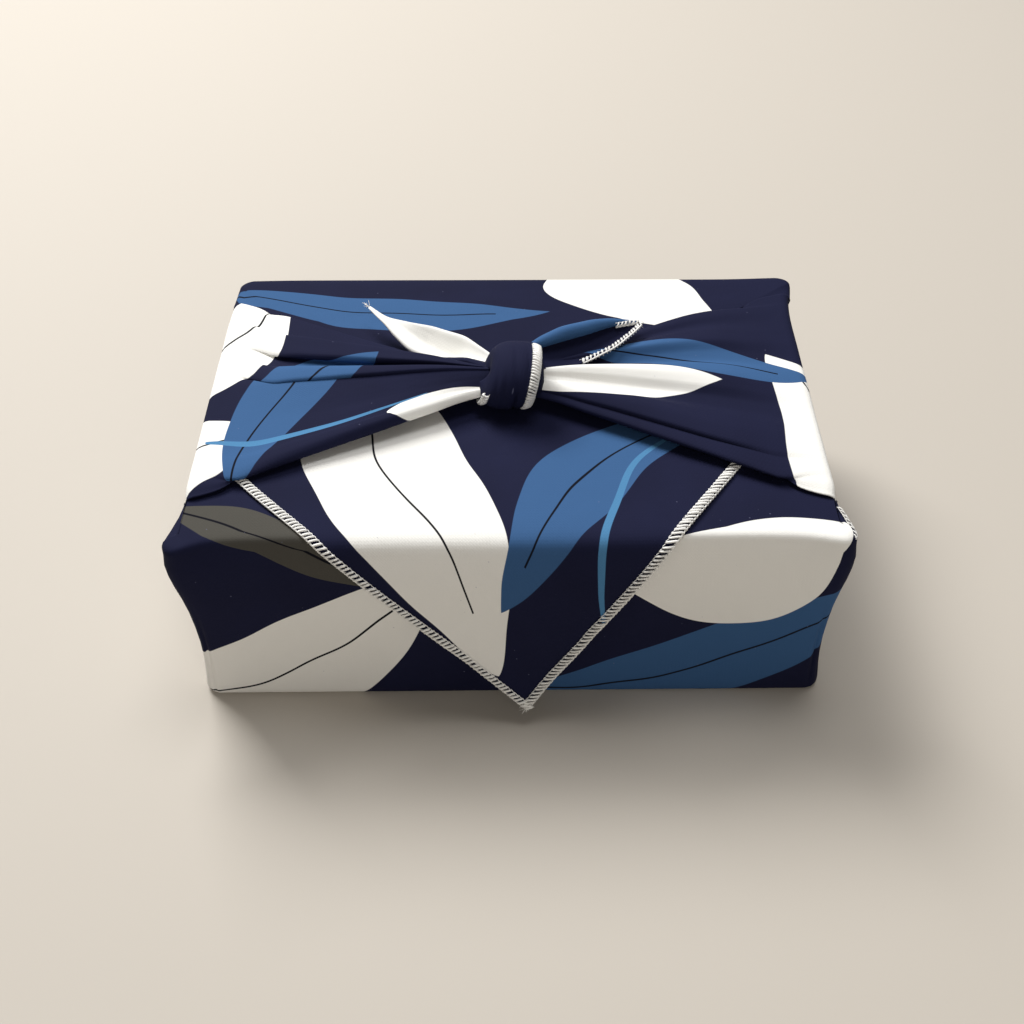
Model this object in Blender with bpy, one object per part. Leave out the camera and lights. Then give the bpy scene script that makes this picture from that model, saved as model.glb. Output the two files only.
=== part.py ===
# Furoshiki wrap: one square cotton cloth tied round a plain gift box.
# Metres, +Z up, +X to the right, +Y to the back. The origin is the middle of the underside.

import math

import bmesh
import bpy
from mathutils import Vector

# Driving sizes of the wrapped bundle
WIDTH = 0.288
DEPTH = 0.195
HEIGHT = 0.098

# The cloth, and the room between one layer and the next
CLOTH = 0.0012
LAYER_GAP = 0.0005

HALF_WIDTH = WIDTH / 2
HALF_DEPTH = DEPTH / 2
UNDER_TOP = HEIGHT - CLOTH - LAYER_GAP
WING_TOP = HEIGHT + LAYER_GAP + CLOTH

# Colours of the cloth and of the box, as linear light
NAVY = (0.014, 0.016, 0.045, 1.0)
GREYBOARD = (0.33, 0.29, 0.24, 1.0)


def lerp(a, b, share):
    return a + (b - a) * share


def read(rows, at, column=1):
    """The value of a column, read between the rows of a table at its first column."""
    if at <= rows[0][0]:
        return rows[0][column]
    for low, high in zip(rows, rows[1:]):
        if at <= high[0]:
            return lerp(low[column], high[column], (at - low[0]) / (high[0] - low[0]))
    return rows[-1][column]


def clear_scene():
    for obj in list(bpy.data.objects):
        bpy.data.objects.remove(obj, do_unlink=True)


def finish_of(name, colour, roughness):
    material = bpy.data.materials.new(name)
    material.use_nodes = True
    shader = material.node_tree.nodes["Principled BSDF"]
    shader.inputs["Base Color"].default_value = colour
    shader.inputs["Roughness"].default_value = roughness
    return material


def object_of(name, bm):
    mesh = bpy.data.meshes.new(name)
    bm.to_mesh(mesh)
    bm.free()
    mesh.shade_smooth()
    obj = bpy.data.objects.new(name, mesh)
    bpy.context.scene.collection.objects.link(obj)
    return obj


def new_row(bm, points):
    return [bm.verts.new(point) for point in points]


def stitch(bm, low, high):
    """Faces between two rows that run the same way; the rows may differ in their number of points."""
    low_steps, high_steps = len(low) - 1, len(high) - 1
    if low_steps == high_steps:
        for i in range(low_steps):
            bm.faces.new((low[i], low[i + 1], high[i + 1], high[i]))
        return
    i = j = 0
    while i < low_steps or j < high_steps:
        low_next = (i + 1) * high_steps
        high_next = (j + 1) * low_steps
        if j == high_steps or (i < low_steps and low_next <= high_next):
            bm.faces.new((low[i], low[i + 1], high[j]))
            i += 1
        else:
            bm.faces.new((low[i], high[j + 1], high[j]))
            j += 1


def stitch_rows(bm, first, rows):
    """A panel of cloth that goes on from a row that is already there."""
    low = first
    for points in rows:
        high = new_row(bm, points)
        stitch(bm, low, high)
        low = high
    return low


def thicken(obj):
    """The points are the outer face; the cloth's thickness goes to its inner side."""
    wall = obj.modifiers.new("Cloth", "SOLIDIFY")
    wall.thickness = CLOTH
    wall.offset = -1.0
    wall.use_quality_normals = True
    return obj


def union(target, others):
    """The knot and the free ends are the same cloth, so they become one body with it."""
    for other in others:
        join = target.modifiers.new("With " + other.name, "BOOLEAN")
        join.operation = "UNION"
        join.object = other
        other.hide_render = True
        other.display_type = "WIRE"


# How far the cloth stands out at each upper corner as an ear; it is drawn in where negative
EAR_REACH = 0.020
EAR_TURN = 0.35
EARS = (
    # side, end, stands out
    (-1, -1, 0.0030),
    (1, -1, 0.0065),
    (1, 1, 0.0045),
    (-1, 1, -0.0030),
)
EAR_BY_HEIGHT = (
    # height, share
    (0.030, 0.0),
    (0.060, 0.30),
    (0.084, 0.90),
    (0.092, 1.0),
    (0.110, 0.75),
)


def with_ears(x, y, z):
    point = Vector((x, y, z))
    share = read(EAR_BY_HEIGHT, z)
    for side, end, out in EARS:
        away = (x - side * HALF_WIDTH) ** 2 + (y - end * HALF_DEPTH) ** 2
        near = math.exp(-away / EAR_REACH**2)
        point += Vector((side, end * EAR_TURN, 0.0)).normalized() * (out * share * near)
    return point


# The walls: a row of the cloth at each height, from the underside to the rim
WALL = (
    # height, inset, corner radius
    (0.0000, 0.0042, 0.0060),
    (0.0010, 0.0018, 0.0065),
    (0.0042, 0.0003, 0.0070),
    (0.0120, 0.0000, 0.0070),
    (0.0400, 0.0007, 0.0065),
    (0.0680, 0.0004, 0.0065),
    (0.0840, 0.0000, 0.0070),
    (0.0905, 0.0006, 0.0070),
)
END_SHARES = (0.0, 0.05, 0.14, 0.30, 0.50, 0.70, 0.86, 0.95, 1.0)
CORNER_STEPS = 3
# The side corners are pulled up over the tucked-in cloth beside them, which lies deeper
TUCK = 0.0011
TUCK_STEP = 0.0012
TUCK_BY_HEIGHT = (
    # height, share
    (0.0000, 0.0),
    (0.0120, 1.0),
    (0.0905, 1.0),
    (0.0958, 0.0),
)

# The front and back ends of each side corner: at the floor, at the top edge and at the knot
WING_EDGES = {
    -1: ((-0.0840, 0.0840), (-0.0710, 0.0790), (-0.0070, 0.0110)),
    1: ((-0.0840, 0.0840), (-0.0740, 0.0820), (-0.0080, 0.0120)),
}
LEFT_PLEATS = (
    # share from front to back, level
    (0.00, 0.30),
    (0.03, 0.80),
    (0.10, 0.55),
    (0.28, 0.50),
    (0.44, 0.75),
    (0.50, 1.00),
    (0.54, 0.45),
    (0.60, 0.90),
    (0.64, 0.20),
    (0.71, 0.10),
    (0.75, 0.95),
    (0.81, 1.00),
    (0.86, 0.25),
    (0.94, 0.40),
    (1.00, 0.20),
)
RIGHT_PLEATS = (
    # share from front to back, level
    (0.00, 0.30),
    (0.03, 0.85),
    (0.12, 0.45),
    (0.22, 0.30),
    (0.30, 0.95),
    (0.36, 0.55),
    (0.43, 0.25),
    (0.53, 1.00),
    (0.60, 0.45),
    (0.66, 0.25),
    (0.76, 0.90),
    (0.82, 0.40),
    (0.90, 0.30),
    (0.96, 0.60),
    (1.00, 0.20),
)
PLEATS = {-1: LEFT_PLEATS, 1: RIGHT_PLEATS}


def wing_end(side, end, z):
    """Where the pulled-up cloth ends on a side wall, in front (end -1) or behind (end 1)."""
    which = 0 if end < 0 else 1
    floor, edge, _ = WING_EDGES[side]
    return lerp(floor[which], edge[which], min(1.0, z / UNDER_TOP))


def side_stretch(side, z, inset):
    """The pulled-up cloth on a side wall, seen from above and anticlockwise."""
    front, back = wing_end(side, -1, z), wing_end(side, 1, z)
    x = side * (HALF_WIDTH - inset)
    points = [with_ears(x, lerp(front, back, share), z) for share, _ in PLEATS[side]]
    return points if side > 0 else points[::-1]


def corner_arc(side, end, inset, radius, z):
    """The points between a side and an end, turning anticlockwise."""
    start_turn = {(-1, -1): 180, (1, -1): 270, (1, 1): 0, (-1, 1): 90}[side, end]
    centre_x = side * (HALF_WIDTH - inset - radius)
    centre_y = end * (HALF_DEPTH - inset - radius)
    points = []
    for step in range(1, CORNER_STEPS + 1):
        turn = math.radians(start_turn + 90 * step / (CORNER_STEPS + 1))
        x = centre_x + radius * math.cos(turn)
        points.append(with_ears(x, centre_y + radius * math.sin(turn), z))
    return points


def tucked_edge(side, end, z, inset, radius, under):
    """The three points from the pulled-up cloth to the start of the corner."""
    outer = side * (HALF_WIDTH - inset)
    deeper = outer - side * TUCK * read(TUCK_BY_HEIGHT, z)
    y = wing_end(side, end, z) - end * under
    return [
        with_ears(outer, y, z),
        with_ears(deeper, y + end * TUCK_STEP, z),
        with_ears(deeper, end * (HALF_DEPTH - inset - radius), z),
    ]


def end_stretch(end, z, inset, radius, under=0.0):
    """The cloth round the front (end -1) or the back (end 1), from side to side, anticlockwise."""
    start, stop = end, -end
    points = tucked_edge(start, end, z, inset, radius, under)
    points += corner_arc(start, end, inset, radius, z)
    half = HALF_WIDTH - inset - radius
    for share in END_SHARES:
        points.append(with_ears(lerp(start, stop, share) * half, end * (HALF_DEPTH - inset), z))
    points += corner_arc(stop, end, inset, radius, z)
    return points + tucked_edge(stop, end, z, inset, radius, under)[::-1]


def ring(z, inset, radius):
    """All round the bundle at a height, as front, right, back and left without doubled points."""
    stretches = (
        end_stretch(-1, z, inset, radius),
        side_stretch(1, z, inset),
        end_stretch(1, z, inset, radius),
        side_stretch(-1, z, inset),
    )
    return [stretch[:-1] for stretch in stretches]


# The cloth turned in over the top of the box, under the back corner
TURN_IN = (
    # height, inset, corner radius, how far it runs on under the side corners
    (0.0942, 0.0024, 0.0065, 0.0),
    (0.0958, 0.0042, 0.0063, 0.0020),
    (UNDER_TOP, 0.0062, 0.0060, 0.0090),
)
FRONT_LAYER = (
    # from the middle, y of the layer's hidden edge
    (-0.1300, -0.0560),
    (-0.1200, -0.0480),
    (-0.1050, -0.0420),
    (0.0000, -0.0395),
    (0.1050, -0.0420),
    (0.1200, -0.0480),
    (0.1300, -0.0520),
)

# The back corner: over the top, past the front edge and down in a point
TIP_X = 0.007
SLANT = {-1: 0.95, 1: 0.70}
FLAP_SIDE_ROOM = 0.008
FLAP_STEP = 0.015
FLAP_PATH = (
    # forward of the middle, height of the outer face
    (-0.0640, UNDER_TOP + 0.0006),
    (-0.0400, HEIGHT - 0.0002),
    (-0.0100, HEIGHT),
    (0.0250, HEIGHT),
    (0.0550, HEIGHT),
    (0.0800, HEIGHT),
    (0.0900, HEIGHT - 0.0001),
    (0.0945, HEIGHT - 0.0008),
    (0.0975, HEIGHT - 0.0026),
    (0.0990, HEIGHT - 0.0062),
    (0.0998, 0.0860),
    (0.1014, 0.0740),
    (0.1036, 0.0600),
    (0.1063, 0.0450),
    (0.1092, 0.0310),
    (0.1122, 0.0180),
    (0.1142, 0.0105),
    (0.1155, 0.0060),
)


def path_to_tip():
    """How far each row of the back corner lies from the tip, along the cloth."""
    lengths = [0.0]
    backwards = FLAP_PATH[::-1]
    for (a, za), (b, zb) in zip(backwards, backwards[1:]):
        lengths.append(lengths[-1] + math.hypot(a - b, za - zb))
    return lengths[::-1]


def flap_rows():
    rows = []
    reach = HALF_WIDTH - FLAP_SIDE_ROOM
    for (forward, z), to_tip in zip(FLAP_PATH, path_to_tip()):
        right = min(reach, TIP_X + SLANT[1] * to_tip)
        left = max(-reach, TIP_X - SLANT[-1] * to_tip)
        steps = math.ceil((right - left) / FLAP_STEP)
        if steps == 0:
            rows.append([Vector((TIP_X, -forward, z))])
            continue
        rows.append([with_ears(lerp(right, left, c / steps), -forward, z) for c in range(steps + 1)])
    return rows


# The side corners: over the top edge and pleated together towards the knot
WING_PATH = (
    # from the middle, height of the outer face, share of the way across the top
    (HALF_WIDTH + 0.0004, 0.0945, 0.0),
    (HALF_WIDTH - 0.0008, 0.0984, 0.0),
    (HALF_WIDTH - 0.0042, WING_TOP, 0.01),
    (HALF_WIDTH - 0.0110, WING_TOP, 0.05),
    (0.1200, WING_TOP, 0.14),
    (0.1060, WING_TOP, 0.25),
    (0.0910, WING_TOP, 0.37),
    (0.0760, WING_TOP, 0.49),
    (0.0610, WING_TOP, 0.61),
    (0.0470, WING_TOP, 0.72),
    (0.0350, WING_TOP, 0.81),
    (0.0240, WING_TOP, 0.90),
    (0.0150, WING_TOP, 0.96),
    (0.0070, WING_TOP, 1.00),
)
WING_RISE = (
    # share of the way across, lift, arch, pleat depth
    (0.00, 0.0000, 0.0000, 0.0000),
    (0.12, 0.0001, 0.0002, 0.0016),
    (0.30, 0.0003, 0.0006, 0.0034),
    (0.55, 0.0012, 0.0020, 0.0044),
    (0.75, 0.0028, 0.0042, 0.0038),
    (0.90, 0.0044, 0.0060, 0.0020),
    (1.00, 0.0052, 0.0068, 0.0008),
)


def wing_rows(side):
    rows = []
    _, edge, knot = WING_EDGES[side]
    for from_middle, height, across in WING_PATH:
        front, back = lerp(edge[0], knot[0], across), lerp(edge[1], knot[1], across)
        lift, arch, depth = (read(WING_RISE, across, column) for column in (1, 2, 3))
        row = []
        for share, level in PLEATS[side]:
            z = height + lift + arch * math.sin(math.pi * share) + depth * level
            row.append(with_ears(side * from_middle, lerp(front, back, share), z))
        rows.append(row if side > 0 else row[::-1])
    return rows


def build_wrap():
    """The square of cloth as one surface: underside, walls, and the four corners folded over."""
    bm = bmesh.new()
    rows = []
    for height, inset, radius in WALL:
        rows.append([new_row(bm, stretch) for stretch in ring(height, inset, radius)])
    for low, high in zip(rows, rows[1:]):
        low_ring, high_ring = sum(low, []), sum(high, [])
        stitch(bm, low_ring + low_ring[:1], high_ring + high_ring[:1])
    bm.faces.new(sum(rows[0], [])[::-1])
    rim = rows[-1]
    front, right, back, left = [rim[i] + rim[(i + 1) % 4][:1] for i in range(4)]

    front_rows = [end_stretch(-1, *row) for row in TURN_IN]
    front_rows.append([Vector((x, y, UNDER_TOP)) for x, y in FRONT_LAYER])
    stitch_rows(bm, front, front_rows)
    stitch_rows(bm, back, [end_stretch(1, *row) for row in TURN_IN] + flap_rows())
    stitch_rows(bm, right, wing_rows(1))
    stitch_rows(bm, left, wing_rows(-1))
    return thicken(object_of("cloth", bm))


# The knot: the gathered corners crossed and drawn tight, one of them lying over as a band
KNOT_CENTRE = Vector((0.001, 0.001, HEIGHT + 0.0140))
KNOT_HALF = Vector((0.0145, 0.0170, 0.0135))
KNOT_ROUND = 20
KNOT_SECTIONS = (
    # from the left end (-1) to the right end (1), girth
    (-1.00, 0.34),
    (-0.93, 0.62),
    (-0.80, 0.80),
    (-0.60, 0.92),
    (-0.35, 0.98),
    (-0.10, 1.00),
    (0.12, 0.97),
    (0.22, 0.93),
    (0.34, 0.98),
    (0.55, 0.96),
    (0.76, 0.86),
    (0.82, 0.74),
    (1.00, 0.48),
)
# The band's crease shows only in front, and is as deep as the dip in the sections there
CREASE = (0.05, 0.35)


def knot_point(across, girth, turn):
    """turn goes round the band; the crease is smoothed away behind and on top."""
    front = max(0.0, -math.cos(turn))
    if CREASE[0] < across < CREASE[1]:
        girth = lerp(0.99, girth, front)
    y = math.cos(turn) * girth * KNOT_HALF.y
    z = math.sin(turn) * girth * KNOT_HALF.z
    return KNOT_CENTRE + Vector((across * KNOT_HALF.x, y, z))


def build_knot():
    bm = bmesh.new()
    turns = [2 * math.pi * step / KNOT_ROUND for step in range(KNOT_ROUND)]
    rings = []
    for across, girth in KNOT_SECTIONS:
        rings.append(new_row(bm, [knot_point(across, girth, turn) for turn in turns]))
    for low, high in zip(rings, rings[1:]):
        stitch(bm, low + low[:1], high + high[:1])
    bm.faces.new(rings[0][::-1])
    bm.faces.new(rings[-1])
    bmesh.ops.recalc_face_normals(bm, faces=bm.faces)
    return object_of("knot", bm)


# The two free ends. The left one is arched; the right one is hollow, its far edge curled up
LEFT_END = (
    # x, y, height over the top, half width, drop of the near edge, drop of the far edge
    (-0.0050, 0.0050, 0.0205, 0.0050, 0.0010, 0.0010),
    (-0.0180, 0.0125, 0.0205, 0.0085, 0.0030, 0.0030),
    (-0.0300, 0.0205, 0.0190, 0.0105, 0.0050, 0.0040),
    (-0.0420, 0.0300, 0.0165, 0.0100, 0.0050, 0.0036),
    (-0.0530, 0.0400, 0.0140, 0.0070, 0.0038, 0.0024),
    (-0.0620, 0.0500, 0.0125, 0.0035, 0.0020, 0.0012),
    (-0.0700, 0.0600, 0.0125, 0.0014, 0.0006, 0.0004),
)
RIGHT_END = (
    # x, y, height over the top, half width, drop of the near edge, drop of the far edge
    (0.0060, 0.0050, 0.0200, 0.0050, 0.0008, -0.0010),
    (0.0180, 0.0120, 0.0180, 0.0080, 0.0004, -0.0050),
    (0.0300, 0.0190, 0.0160, 0.0100, -0.0008, -0.0080),
    (0.0420, 0.0270, 0.0140, 0.0105, -0.0014, -0.0085),
    (0.0520, 0.0350, 0.0130, 0.0085, -0.0014, -0.0060),
    (0.0600, 0.0410, 0.0125, 0.0045, -0.0008, -0.0028),
    (0.0650, 0.0450, 0.0125, 0.0016, -0.0002, -0.0006),
)
END_COLUMNS = 9


def end_row(before, station, after):
    """One section of a free end, from its left edge to its right edge as seen along it."""
    x, y, over, half, near_drop, far_drop = station
    along = (Vector(after[:3]) - Vector(before[:3])).normalized()
    across = Vector((0.0, 0.0, 1.0)).cross(along).normalized()
    up = along.cross(across)
    middle = Vector((x, y, HEIGHT + over))
    row = []
    for column in range(END_COLUMNS):
        share = 1 - 2 * column / (END_COLUMNS - 1)
        drop = far_drop if across.y * share > 0 else near_drop
        row.append(middle + across * (half * share) - up * (drop * share * share))
    return row


def build_end(name, stations):
    bm = bmesh.new()
    befores = stations[:1] + stations[:-1]
    afters = stations[1:] + stations[-1:]
    rows = [end_row(*three) for three in zip(befores, stations, afters)]
    stitch_rows(bm, new_row(bm, rows[0]), rows[1:])
    return thicken(object_of(name, bm))


def build_cloth():
    cloth = build_wrap()
    union(
        cloth,
        [
            build_knot(),
            build_end("left_end", LEFT_END),
            build_end("right_end", RIGHT_END),
        ],
    )
    cloth.data.materials.append(finish_of("cotton", NAVY, 0.8))
    return cloth


# The box inside, a plain closed carton that gives the bundle its form
BOX_ROOM = 0.0055
BOX_LID_ROOM = 0.0005
BOX_EDGE = 0.0040


def build_box():
    low = CLOTH + BOX_LID_ROOM
    high = UNDER_TOP - CLOTH - BOX_LID_ROOM
    inset = CLOTH + BOX_ROOM
    size = Vector((WIDTH - 2 * inset, DEPTH - 2 * inset, high - low))
    bm = bmesh.new()
    bmesh.ops.create_cube(bm, size=1.0)
    bmesh.ops.scale(bm, vec=size, verts=bm.verts)
    bmesh.ops.translate(bm, vec=(0.0, 0.0, (low + high) / 2), verts=bm.verts)
    box = object_of("box", bm)
    edge = box.modifiers.new("Edge", "BEVEL")
    edge.width = BOX_EDGE
    edge.segments = 3
    box.data.materials.append(finish_of("greyboard", GREYBOARD, 0.85))
    return box


clear_scene()
build_box()
build_cloth()
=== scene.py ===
import math

import bpy
import numpy as np
from mathutils import Matrix, Vector


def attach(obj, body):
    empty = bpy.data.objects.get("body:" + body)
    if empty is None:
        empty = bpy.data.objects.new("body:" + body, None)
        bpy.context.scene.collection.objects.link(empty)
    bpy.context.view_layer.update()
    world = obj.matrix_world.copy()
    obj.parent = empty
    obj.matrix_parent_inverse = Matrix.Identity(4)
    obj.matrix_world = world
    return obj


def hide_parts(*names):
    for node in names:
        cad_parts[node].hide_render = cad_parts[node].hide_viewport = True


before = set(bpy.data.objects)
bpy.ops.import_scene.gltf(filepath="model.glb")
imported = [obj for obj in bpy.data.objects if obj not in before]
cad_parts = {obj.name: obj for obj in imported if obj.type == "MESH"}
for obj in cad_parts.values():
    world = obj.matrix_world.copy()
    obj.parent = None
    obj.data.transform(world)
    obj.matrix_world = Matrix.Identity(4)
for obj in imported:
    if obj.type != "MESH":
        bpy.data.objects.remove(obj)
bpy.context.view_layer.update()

# ---- The box inside ----
# A low gift box of uncoated greyboard, creased and glued. The cloth hides it, but its straight
# edges give the bundle its form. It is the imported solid, with a board finish of its own.
BOARD_LIGHT = "#b3a890"
BOARD_DARK = "#978b74"
BOARD_FLECK = 0.0012


def linear(colour):
    """An sRGB hex colour as linear light, with full alpha."""
    parts = [int(colour[i : i + 2], 16) / 255 for i in (1, 3, 5)]
    light = [c / 12.92 if c <= 0.04045 else ((c + 0.055) / 1.055) ** 2.4 for c in parts]
    return (*light, 1.0)


def add_node(tree, kind, settings, inputs):
    """One node with its settings; each input is a plain value or another node's output."""
    made = tree.nodes.new("ShaderNode" + kind)
    for name, value in settings.items():
        setattr(made, name, value)
    for name, value in inputs.items():
        if isinstance(value, bpy.types.NodeSocket):
            tree.links.new(value, made.inputs[name])
        else:
            made.inputs[name].default_value = value
    return made


def greyboard():
    """Greyboard is pressed from mixed paper pulp: dull, with soft flecks of lighter fibre."""
    finish = bpy.data.materials.new("uncoated greyboard")
    finish.use_nodes = True
    tree = finish.node_tree
    shader = tree.nodes["Principled BSDF"]
    place = add_node(tree, "TexCoord", {}, {})
    fleck = add_node(
        tree, "TexNoise", {}, {"Vector": place.outputs["Object"], "Scale": 1 / BOARD_FLECK, "Detail": 4.0}
    )
    colours = add_node(tree, "ValToRGB", {}, {"Fac": fleck.outputs["Fac"]})
    colours.color_ramp.elements[0].color = linear(BOARD_DARK)
    colours.color_ramp.elements[1].color = linear(BOARD_LIGHT)
    relief = add_node(tree, "Bump", {}, {"Height": fleck.outputs["Fac"], "Strength": 0.2, "Distance": 0.0002})
    tree.links.new(colours.outputs["Color"], shader.inputs["Base Color"])
    tree.links.new(relief.outputs["Normal"], shader.inputs["Normal"])
    shader.inputs["Roughness"].default_value = 0.9
    return finish


board = greyboard()
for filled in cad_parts["box"].material_slots:
    filled.material = board

# ---- The printed cloth ----
# Plain-woven cotton broadcloth, reactive printed with large leaves and petals on navy. Matte, with
# little shine. The print is laid out on the flat square of cloth.
HALF_DIAGONAL = 0.495
NAVY = "#1b1e3b"
NAVY_DEEP = "#13152c"
WHITE = "#f1f0ec"
STEEL_BLUE = "#395c88"
LIGHT_BLUE = "#4c80ab"
GREY_BROWN = "#4c4a45"
LINE = "#0a0b16"
EDGE_SOFT = 0.00030
RIB_HALF = 0.00070
# The real threads lie 0.3 mm apart, too fine to show, so they are drawn at twice that
THREAD_SPACING = 0.0006

# Each motif starts at (p, q) on the flat cloth, in mm from its middle, and points along its turn
MOTIFS = (
    # p, q, turn, length, half width, fullness at the base, at the tip, bend, colour, rib
    # the back corner
    (-100, 292, 64, 205, 40, 0.6, 0.8, -16, WHITE, 1),
    (116, 318, 134, 170, 21, 0.8, 0.9, 14, STEEL_BLUE, 1),
    (-150, 205, 10, 175, 18, 0.8, 0.9, 20, STEEL_BLUE, 1),
    (25, 192, 40, 120, 30, 0.5, 1.0, -8, WHITE, 0),
    (92, 340, 112, 120, 2.0, 0.2, 0.3, 10, LIGHT_BLUE, 0),
    # the front corner and the front wall
    (-150, -222, 30, 110, 13, 0.8, 0.9, -6, GREY_BROWN, 1),
    (-160, -98, -34, 150, 32, 0.6, 0.9, 20, WHITE, 1),
    (10, -100, -24, 190, 22, 0.8, 0.9, 18, STEEL_BLUE, 1),
    (150, -205, 162, 105, 34, 0.7, 0.7, -14, WHITE, 0),
    # the left side corner
    (-148, -92, 154, 150, 30, 0.7, 0.9, -10, WHITE, 1),
    (-262, -60, 118, 130, 20, 0.8, 0.9, -12, STEEL_BLUE, 1),
    (-206, -8, 121, 122, 27, 0.6, 0.8, 8, WHITE, 1),
    (-330, -40, 190, 50, 16, 0.6, 0.7, 0, WHITE, 0),
    (-388, 36, 200, 135, 36, 0.4, 0.4, 0, WHITE, 0),
    (-246, -34, 176, 104, 2.0, 0.2, 0.3, 6, LIGHT_BLUE, 0),
    # the right side corner
    (236, -86, 78, 120, 30, 0.6, 0.9, 16, WHITE, 1),
    (352, 46, 196, 118, 16, 0.8, 0.9, 10, STEEL_BLUE, 1),
    (392, -34, 163, 112, 25, 0.5, 1.0, -6, WHITE, 0),
    (176, -40, 60, 100, 2.4, 0.2, 0.3, -10, LIGHT_BLUE, 0),
    (384, 36, -12.5, 124, 12.5, 0.25, 0.3, 0, STEEL_BLUE, 0),
    # the back wall, the side walls and the underside
    (150, 90, 204, 150, 26, 0.7, 1.0, -12, WHITE, 1),
    (-140, 130, -6, 120, 20, 0.8, 1.0, 10, STEEL_BLUE, 1),
    (170, 60, 262, 120, 19, 0.8, 0.9, 10, STEEL_BLUE, 1),
    (-210, 70, 280, 110, 24, 0.7, 0.9, -10, WHITE, 1),
    (-80, -10, 20, 170, 30, 0.7, 0.9, 16, WHITE, 1),
)


def motif_shape():
    """A node group: inside a leaf drawn from x 0 to 1, with y in half widths, and on its rib."""
    tree = bpy.data.node_groups.new("printed motif", "ShaderNodeTree")
    for name in ("Place", "Base", "Tip", "Fullness", "Bend", "Sharp", "Rib"):
        kind = "NodeSocketVector" if name == "Place" else "NodeSocketFloat"
        tree.interface.new_socket(name, in_out="INPUT", socket_type=kind)
    for name in ("Inside", "Line"):
        tree.interface.new_socket(name, in_out="OUTPUT", socket_type="NodeSocketFloat")
    given = tree.nodes.new("NodeGroupInput").outputs
    result = tree.nodes.new("NodeGroupOutput")

    def sum_of(operation, *values, clamp=False):
        inputs = dict(enumerate(values))
        return add_node(tree, "Math", {"operation": operation, "use_clamp": clamp}, inputs).outputs[0]

    part = add_node(tree, "SeparateXYZ", {}, {0: given["Place"]}).outputs
    along = sum_of("ADD", part["X"], 0.0, clamp=True)
    left = sum_of("SUBTRACT", 1.0, along)
    width = sum_of("MULTIPLY", sum_of("POWER", along, given["Base"]), sum_of("POWER", left, given["Tip"]))
    width = sum_of("MULTIPLY", width, given["Fullness"])
    arc = sum_of("MULTIPLY", sum_of("MULTIPLY", along, left), given["Bend"])
    aside = sum_of("ABSOLUTE", sum_of("SUBTRACT", part["Y"], arc))
    inside = sum_of("MULTIPLY", sum_of("SUBTRACT", width, aside), given["Sharp"], clamp=True)
    rib = sum_of("MULTIPLY", sum_of("SUBTRACT", given["Rib"], aside), given["Sharp"], clamp=True)
    short = sum_of("LESS_THAN", along, 0.84)
    rib = sum_of("MULTIPLY", sum_of("MULTIPLY", rib, short), inside)
    tree.links.new(inside, result.inputs["Inside"])
    tree.links.new(rib, result.inputs["Line"])
    return tree


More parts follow.
